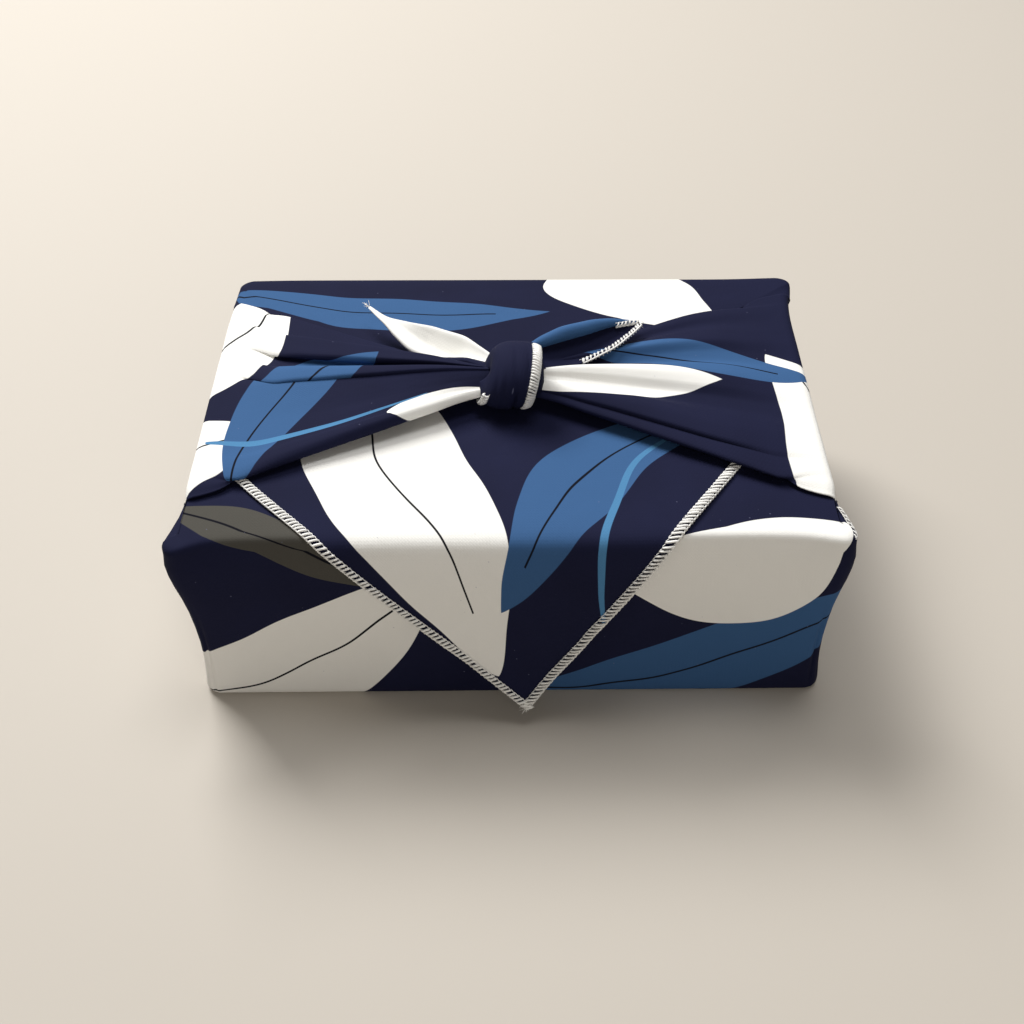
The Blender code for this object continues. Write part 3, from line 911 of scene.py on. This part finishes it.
KNOT_CREASES = (
    # across, turn in degrees, half length across, half length round, depth; front is 180, top is 90
    (0.20, 194, 0.055, 30, 0.0030),
    (-0.30, 168, 0.07, 26, 0.0007),
    (-0.62, 150, 0.08, 40, 0.0008),
    (0.46, 120, 0.08, 34, 0.0006),
    (-0.05, 110, 0.06, 30, 0.0005),
)


def knot_ring(across, girth, lean=0.0):
    """One ring of the knot round the X axis; the band leans so that its top lies further right."""
    turns = np.linspace(0, 2 * np.pi, KNOT_TURNS, endpoint=False)
    sag = np.zeros(KNOT_TURNS)
    for at, turn, half, span, depth in KNOT_CREASES:
        apart = (np.degrees(turns) - turn + 180) % 360 - 180
        drift = at + 0.0016 * apart
        sag += depth * np.exp(-(((across - drift) / half) ** 2) - (apart / span) ** 2)
    y = np.cos(turns) * (girth * KNOT_HALF[1] - sag)
    z = np.sin(turns) * (girth * KNOT_HALF[2] - sag)
    x = across * KNOT_HALF[0] + lean * np.sin(turns)
    return np.column_stack([x, y, z]) + KNOT_CENTRE


def knot_surface(sections, rows, lean, p_at, q_at, q_per_turn):
    """A closed run of rings, smooth between the sections of a table."""
    table = [(k, *section) for k, section in enumerate(sections)]
    knot = Cloth()
    low = None
    for across, girth in smooth(table, np.linspace(0, len(sections) - 1, rows)):
        ring = knot_ring(across, girth, lean)
        ring = np.append(ring, ring[:1], axis=0)
        q = q_at + np.linspace(-0.5, 0.5, len(ring)) * q_per_turn
        high = knot.row(ring, np.column_stack([np.full(len(q), p_at + across * 0.012), q]))
        if low is not None:
            knot.join(high, low)
        low = high
    return knot


KNOT_LEAN = 0.0034
knot_band = knot_surface(KNOT_BAND, 46, KNOT_LEAN, -0.300, 0.165, 0.02).made("knot_band", cotton)
knot_core = knot_surface(KNOT_CORE, 16, 0.0, 0.300, 0.165, 0.03).made("knot_core", cotton)

# ---- The two free ends ----
# The tips of the side corners come out of the knot at the back. The left one is a smooth boat shape
# with its near edge turned under; the right one stands open, its far edge curled over in a roll.
LEFT_END = (
    # x, y, height over the top, half width, drop of the near edge, drop of the far edge, hollow
    (-0.0050, 0.0060, 0.0150, 0.0040, 0.0008, 0.0008, 0.0000),
    (-0.0170, 0.0172, 0.0155, 0.0064, 0.0026, 0.0016, 0.0052),
    (-0.0290, 0.0250, 0.0145, 0.0104, 0.0052, 0.0014, 0.0110),
    (-0.0408, 0.0335, 0.0130, 0.0098, 0.0048, 0.0012, 0.0080),
    (-0.0532, 0.0426, 0.0124, 0.0054, 0.0030, 0.0008, 0.0016),
    (-0.0620, 0.0498, 0.0124, 0.0020, 0.0010, 0.0008, 0.0000),
    (-0.0700, 0.0588, 0.0126, 0.0007, 0.0003, 0.0003, 0.0000),
)
LEFT_SECTION = (
    # from the near edge (0) to the far edge (1): place across, share of the drop, share of the hollow
    (0.00, -0.80, 1.25, 0.0),
    (0.05, -0.95, 1.12, 0.0),
    (0.10, -1.00, 0.85, 0.0),
    (0.16, -0.93, 0.62, 0.0),
    (0.28, -0.66, 0.40, 0.10),
    (0.46, -0.24, 0.06, 0.62),
    (0.62, 0.20, 0.02, 1.00),
    (0.78, 0.60, 0.20, 0.52),
    (0.91, 0.90, 0.62, 0.02),
    (0.97, 1.00, 0.92, 0.0),
    (1.00, 0.97, 1.10, 0.0),
)
RIGHT_END = (
    # x, y, height over the top, half width, rise of the near edge, rise of the far edge, roll
    (0.0060, 0.0050, 0.0190, 0.0050, 0.0000, 0.0020, 0.0005),
    (0.0180, 0.0120, 0.0150, 0.0085, -0.0006, 0.0078, 0.0026),
    (0.0300, 0.0190, 0.0125, 0.0102, 0.0010, 0.0098, 0.0034),
    (0.0420, 0.0268, 0.0114, 0.0098, 0.0026, 0.0088, 0.0032),
    (0.0520, 0.0342, 0.0113, 0.0076, 0.0026, 0.0062, 0.0022),
    (0.0600, 0.0398, 0.0116, 0.0042, 0.0016, 0.0030, 0.0010),
    (0.0648, 0.0432, 0.0121, 0.0012, 0.0002, 0.0006, 0.0001),
)
RIGHT_SECTION = (
    # from the near edge (0) to the far edge (1): place across, near rise, far rise, back of the roll
    (0.00, -1.00, 1.00, 0.00, 0.0),
    (0.15, -0.74, 0.50, 0.00, 0.0),
    (0.35, -0.36, 0.00, 0.00, 0.0),
    (0.55, 0.10, -0.10, 0.06, 0.0),
    (0.70, 0.52, 0.00, 0.32, 0.0),
    (0.80, 0.82, 0.00, 0.68, 0.0),
    (0.86, 0.94, 0.00, 0.96, -0.05),
    (0.90, 0.93, 0.00, 1.10, -0.50),
    (0.94, 0.90, 0.00, 1.10, -1.10),
    (0.97, 0.88, 0.00, 0.92, -1.55),
    (1.00, 0.86, 0.00, 0.62, -1.66),
)
END_ROWS = 44
END_COLUMNS = 34


def end_frame(stations, at):
    """The middle of an end at a share of its length, with its across and upward directions."""
    table = [(k / (len(stations) - 1), *station) for k, station in enumerate(stations)]
    here = smooth(table, at)[0]
    behind, ahead = smooth(table, (max(0.0, at - 0.02), min(1.0, at + 0.02)))
    along = Vector(ahead[:3] - behind[:3]).normalized()
    across = Vector((0, 0, 1)).cross(along).normalized()
    if across.y < 0:
        across = -across
    up = across.cross(along) if across.cross(along).z > 0 else along.cross(across)
    middle = Vector((here[0], here[1], HEIGHT + here[2]))
    return here, middle, across, up


def left_section(here, share):
    _, _, _, half, near_drop, far_drop, hollow = here
    place, drop, dip = smooth(LEFT_SECTION, share)[0]
    fall = (near_drop if place < 0 else far_drop) * drop
    return place * half, -fall - hollow * dip


def right_section(here, share):
    _, _, _, half, near, far, roll = here
    place, near_share, far_share, back = smooth(RIGHT_SECTION, share)[0]
    return place * half + back * roll, near * near_share + far * far_share


def free_end(name, stations, section, p_from):
    """A tip of the cloth, laid row by row out of the knot; returns it and its grid of points."""
    end = Cloth()
    grid = []
    row = None
    for at in np.linspace(0, 1, END_ROWS):
        here, middle, across, up = end_frame(stations, at)
        points = []
        for share in np.linspace(0, 1, END_COLUMNS):
            aside, rise = section(here, share)
            points.append(middle + across * aside + up * rise)
        grid.append(np.array(points))
        p = np.full(END_COLUMNS, p_from + math.copysign(0.11 * at, p_from))
        q = np.linspace(-1, 1, END_COLUMNS) * (0.03 * (1 - at) + 0.004)
        low = row
        row = end.row(points, np.column_stack([p, q]))
        if low is not None:
            first, second = (row, low) if name == "end_left" else (low, row)
            end.join(first, second)
    return end.made(name, cotton), np.array(grid)


end_left, left_grid = free_end("end_left", LEFT_END, left_section, -0.385)
end_right, right_grid = free_end("end_right", RIGHT_END, right_section, 0.385)
END_CLOTH = 0.0004
for piece in (knot_band, knot_core, end_left, end_right):
    layer = piece.modifiers.new("Cloth", "SOLIDIFY")
    layer.thickness = END_CLOTH
    layer.offset = -1.0 if piece.name.startswith("knot") else 0.0
    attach(piece, "root")

# ---- The overlocked edges ----
# All four edges of the cloth are overlocked in white polyester thread, a stitch every 2.3 mm: two
# looper threads wrap the cut edge in slanted bars, and a needle thread holds them 5 mm in.
THREAD = "#fbfaf7"
STITCH = 0.0023
THREAD_HALF = 0.00066
BAR = (
    # along the edge, into the cloth, out of its face
    (0.00085, 0.0050, 0.0003),
    (0.00075, 0.0042, 0.0008),
    (0.00040, 0.0026, 0.0010),
    (-0.00015, 0.0010, 0.0010),
    (-0.00060, -0.0004, 0.0008),
    (-0.00075, -0.0009, 0.0000),
    (-0.00050, -0.0003, -0.0009),
)


def overlock_thread():
    """Spun polyester thread: soft white, matt, with a fine twist along it."""
    finish = bpy.data.materials.new("polyester overlock thread")
    finish.use_nodes = True
    tree = finish.node_tree
    shader = tree.nodes["Principled BSDF"]
    place = add_node(tree, "TexCoord", {}, {}).outputs["Object"]
    twist = add_node(tree, "TexNoise", {}, {"Vector": place, "Scale": 3200.0, "Detail": 2.0})
    tone = add_node(tree, "ValToRGB", {}, {"Fac": twist.outputs["Fac"]})
    tone.color_ramp.elements[0].color = linear("#dddcd8")
    tone.color_ramp.elements[1].color = linear(THREAD)
    tone.color_ramp.elements[0].position = 0.25
    tone.color_ramp.elements[1].position = 0.6
    relief = add_node(tree, "Bump", {}, {"Height": twist.outputs["Fac"], "Strength": 0.4, "Distance": 0.0001})
    tree.links.new(tone.outputs["Color"], shader.inputs["Base Color"])
    tree.links.new(relief.outputs["Normal"], shader.inputs["Normal"])
    shader.inputs["Roughness"].default_value = 0.6
    shader.inputs["Sheen Weight"].default_value = 0.1
    return finish


thread = overlock_thread()


def unit(vectors):
    return vectors / np.maximum(np.linalg.norm(vectors, axis=-1, keepdims=True), 1e-9)


class Threads:
    """Short lengths of thread, gathered into one mesh."""

    def __init__(self):
        self.points, self.faces, self.count = [], [], 0

    def lay(self, points, half, sides=5, flat=1.0):
        """A length of thread along its points, closed at both ends and tapering into them."""
        points = np.array(points, float)
        along = unit(np.gradient(points, axis=0))
        guide = np.array((0.3, 0.2, 1.0)) if abs(along[0][2]) < 0.9 else np.array((1.0, 0.2, 0.1))
        across = unit(np.cross(along, guide))
        outward = np.cross(across, along)
        turns = np.linspace(0, 2 * np.pi, sides, endpoint=False)
        sizes = np.full(len(points), half)
        sizes[0] = sizes[-1] = half * 0.45
        for k, point in enumerate(points):
            ring = across[k] * np.cos(turns)[:, None] + outward[k] * np.sin(turns)[:, None] * flat
            self.points.append(point + ring * sizes[k])
        first, last = self.count, self.count + sides * (len(points) - 1)
        for k in range(len(points) - 1):
            low = first + k * sides
            for s in range(sides):
                after = (s + 1) % sides
                self.faces.append((low + s, low + after, low + sides + after, low + sides + s))
        self.faces.append(tuple(range(first, first + sides))[::-1])
        self.faces.append(tuple(range(last, last + sides)))
        self.count += sides * len(points)

    def made(self, name):
        mesh = bpy.data.meshes.new(name)
        mesh.from_pydata(np.concatenate(self.points).tolist(), [], self.faces)
        mesh.materials.append(thread)
        mesh.shade_smooth()
        obj = bpy.data.objects.new(name, mesh)
        bpy.context.scene.collection.objects.link(obj)
        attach(obj, "root")
        return obj


def overlock(name, edge, inward, outward, seed, width=0.86, stitch=STITCH, turn=1.0, thick=1.0):
    """Bars over an edge, with the thread along the cut and the needle thread inside."""
    draw = np.random.default_rng(seed)
    steps = np.linalg.norm(np.diff(edge, axis=0), axis=1)
    length = np.concatenate([[0], np.cumsum(steps)])

    def at(values, where):
        return np.array([np.interp(where, length, values[:, k]) for k in range(3)]).T

    work = Threads()
    stops = np.arange(stitch * 0.5, length[-1], stitch)
    for stop in stops:
        here = stop + draw.uniform(-0.12, 0.12) * stitch
        origin = at(edge, here)
        side = unit(at(inward, here))
        face = unit(at(outward, here))
        along = unit(at(edge, min(here + 0.001, length[-1])) - at(edge, max(here - 0.001, 0.0)))
        reach = width * draw.uniform(0.94, 1.06)
        lean = turn * draw.uniform(0.8, 1.25)
        bar = [origin + along * (a * lean) + side * (b * reach) + face * c for a, b, c in BAR]
        work.lay(bar, THREAD_HALF * thick * draw.uniform(0.9, 1.12), flat=0.75)
    fine = np.arange(0, length[-1], stitch / 4)
    wave = np.sin(2 * np.pi * fine / stitch)[:, None]
    origins, sides, faces = at(edge, fine), unit(at(inward, fine)), unit(at(outward, fine))
    work.lay(origins - sides * (0.0007 + 0.0001 * wave) + faces * 0.0002, 0.00042)
    work.lay(origins + sides * (0.0048 + 0.0003 * wave) * width + faces * (0.0006 + 0.0001 * wave), 0.00018)
    return work.made(name)


def hem_of(points, beside, flip=1.0):
    """The inward and outward directions of an edge, from the row of points beside it."""
    inward = unit(beside - points)
    along = unit(np.gradient(points, axis=0))
    return inward, unit(np.cross(along, inward)) * flip


def tuft(name, tip, before, seed, count, length):
    """Loose ends of thread where two overlocked edges meet."""
    draw = np.random.default_rng(seed)
    ends = Threads()
    for _ in range(count):
        aim = unit(unit(tip - before) + draw.normal(0, 0.5, 3))
        reach = length * draw.uniform(0.5, 1.2)
        curl = draw.normal(0, 0.3, 3) * reach
        ends.lay([tip + aim * reach * t + curl * t * t for t in np.linspace(0, 1, 5)], 0.00013)
    return ends.made(name)


flap = np.array(flap_points)
shown = flap[:, 0, 1] < -0.030
right_edge, right_beside = flap[shown][:, 0], flap[shown][:, 3]
inward, outward = hem_of(right_edge, right_beside, -1.0)
overlock_right = overlock("overlock_point_right", right_edge, inward, outward, 11, turn=0.35)
left_edge, left_beside = flap[shown][:, -1], flap[shown][:, -4]
inward, outward = hem_of(left_edge, left_beside, 1.0)
overlock_left = overlock("overlock_point_left", left_edge, inward, outward, 12, turn=-0.8)

band_turns = np.linspace(-0.62 * np.pi, -1.62 * np.pi, 44)
border, border_in, border_out = [], [], []
for turn in band_turns:
    y, z = math.cos(turn), math.sin(turn)
    girth = 0.90
    border.append((
        KNOT_CENTRE[0] + 0.80 * KNOT_HALF[0] + KNOT_LEAN * z,
        KNOT_CENTRE[1] + y * girth * KNOT_HALF[1],
        KNOT_CENTRE[2] + z * girth * KNOT_HALF[2],
    ))
    border_in.append((-1.0, 0.25 * y, 0.25 * z))
    border_out.append((0.2, y / KNOT_HALF[1] * 0.015, z / KNOT_HALF[2] * 0.015))
overlock_knot = overlock(
    "overlock_knot", np.array(border), np.array(border_in), np.array(border_out), 13, width=0.66, stitch=0.0013, thick=1.25
)

# A little of the other end's edge shows where it leaves the knot, low on the left
turns = np.radians(np.linspace(178, 248, 14))
left_rim = np.column_stack([
    KNOT_CENTRE[0] - 0.98 * KNOT_HALF[0] + KNOT_LEAN * np.sin(turns),
    KNOT_CENTRE[1] + 0.80 * KNOT_HALF[1] * np.cos(turns),
    KNOT_CENTRE[2] + 0.80 * KNOT_HALF[2] * np.sin(turns),
])
left_in = np.tile((1.0, 0.0, 0.0), (14, 1))
left_out = np.column_stack([np.full(14, -0.4), np.cos(turns), np.sin(turns)])
overlock_knot_left = overlock("overlock_knot_left", left_rim, left_in, left_out, 16, width=0.5, stitch=0.0016)

# The front corner's edge just shows where it is folded in at the right
ear_y, ear_z = np.linspace(-0.0905, -0.0740, 10), np.linspace(0.0948, 0.0964, 10)
ear_round = 0.0070 - np.sqrt(0.0070**2 - np.clip(-0.0857 - ear_y, 0, 0.0069) ** 2)
ear_x = HALF_WIDTH - smooth([row[:2] for row in TURN_IN[-1]], ear_z)[:, 0] - ear_round
ear_edge = with_ears(np.column_stack([ear_x, ear_y, ear_z]))
ear_in, ear_out = np.tile((-0.9, 0.1, 0.3), (10, 1)), np.tile((0.6, -0.1, 0.8), (10, 1))
overlock_ear = overlock("overlock_ear", ear_edge, ear_in, ear_out, 17, width=0.30, thick=0.6)

rim_points = right_grid[14:, 0]
inward, outward = hem_of(rim_points, right_grid[14:, 2], 1.0)
overlock_end = overlock("overlock_end_right", rim_points, inward, outward, 14, width=0.5)
rim_points = right_grid[30:, -1]
inward, outward = hem_of(rim_points, right_grid[30:, -3], 1.0)
overlock_roll = overlock("overlock_end_right_far", rim_points, inward, outward, 15, width=0.3, thick=0.8)

left_tip, before = left_grid[-1].mean(axis=0), left_grid[-5].mean(axis=0)
tuft_left = tuft("tuft_end_left", left_tip, before, 21, 12, 0.0042)
right_tip, before = right_grid[-1].mean(axis=0), right_grid[-5].mean(axis=0)
tuft_right = tuft("tuft_end_right", right_tip, before, 22, 6, 0.0028)
point_tip, before = flap[-1].mean(axis=0), flap[-5].mean(axis=0)
tuft_point = tuft("tuft_point", point_tip + (0, -0.0006, 0.0012), before, 23, 8, 0.0030)

# ---- The table and the light ----
# A plain pale table top, and soft studio light: a large soft source above and behind on the left,
# as from a window, and a weak one in front.
TABLE = "#bfb8ae"
bpy.ops.object.select_all(action="DESELECT")
bpy.ops.mesh.primitive_plane_add(size=4.0, location=(0, 0, 0))
table_top = bpy.context.object
table_top.name = "table_top"
pale = bpy.data.materials.new("matte pale laminate")
pale.use_nodes = True
pale.node_tree.nodes["Principled BSDF"].inputs["Base Color"].default_value = linear(TABLE)
pale.node_tree.nodes["Principled BSDF"].inputs["Roughness"].default_value = 0.7
table_top.data.materials.append(pale)

LAMPS = (
    # name, place, size, power, colour
    ("window", (-1.0, 1.6, 2.1), 1.3, 96.0, "#fffefc"),
    ("overhead", (0.3, 0.5, 2.4), 1.0, 20.0, "#ffffff"),
    ("front_fill", (0.3, -1.9, 1.0), 1.4, 9.0, "#fff8ee"),
)
for name, place, size, power, colour in LAMPS:
    lamp = bpy.data.lights.new(name, "AREA")
    lamp.size = size
    lamp.energy = power
    lamp.color = linear(colour)[:3]
    holder = bpy.data.objects.new(name, lamp)
    holder.location = place
    holder.rotation_euler = (Vector((0, 0, 0.05)) - Vector(place)).to_track_quat("-Z", "Y").to_euler()
    bpy.context.scene.collection.objects.link(holder)

room = bpy.data.worlds.new("room")
room.use_nodes = True
room.node_tree.nodes["Background"].inputs["Color"].default_value = linear("#f3efe9")
room.node_tree.nodes["Background"].inputs["Strength"].default_value = 0.13
bpy.context.scene.world = room
# Plain display colours, in which dyed navy stays as deep as it looks
bpy.context.scene.view_settings.view_transform = "Standard"

# The photograph's own view: 44 degrees down, from the front, a hand's breadth over half a metre off
LENS = 45.42
PITCH = math.radians(44.2)
YAW = math.radians(0.40)
ROLL = math.radians(0.80)
CAMERA_PLACE = (0.0039, -0.4787, 0.4887)
right = Vector((math.cos(YAW), math.sin(YAW), 0))
forward = Vector((-math.sin(YAW) * math.cos(PITCH), math.cos(YAW) * math.cos(PITCH), -math.sin(PITCH)))
upward = Vector((-math.sin(YAW) * math.sin(PITCH), math.cos(YAW) * math.sin(PITCH), math.cos(PITCH)))
camera_x = math.cos(ROLL) * right - math.sin(ROLL) * upward
camera_y = math.sin(ROLL) * right + math.cos(ROLL) * upward
lens = bpy.data.cameras.new("camera")
lens.lens = LENS
lens.sensor_width = 36.0
lens.clip_start = 0.01
camera = bpy.data.objects.new("camera", lens)
turn = Matrix((camera_x, camera_y, -forward)).transposed().to_4x4()
camera.matrix_world = Matrix.Translation(CAMERA_PLACE) @ turn
bpy.context.scene.collection.objects.link(camera)
bpy.context.scene.camera = camera

bpy.context.view_layer.update()
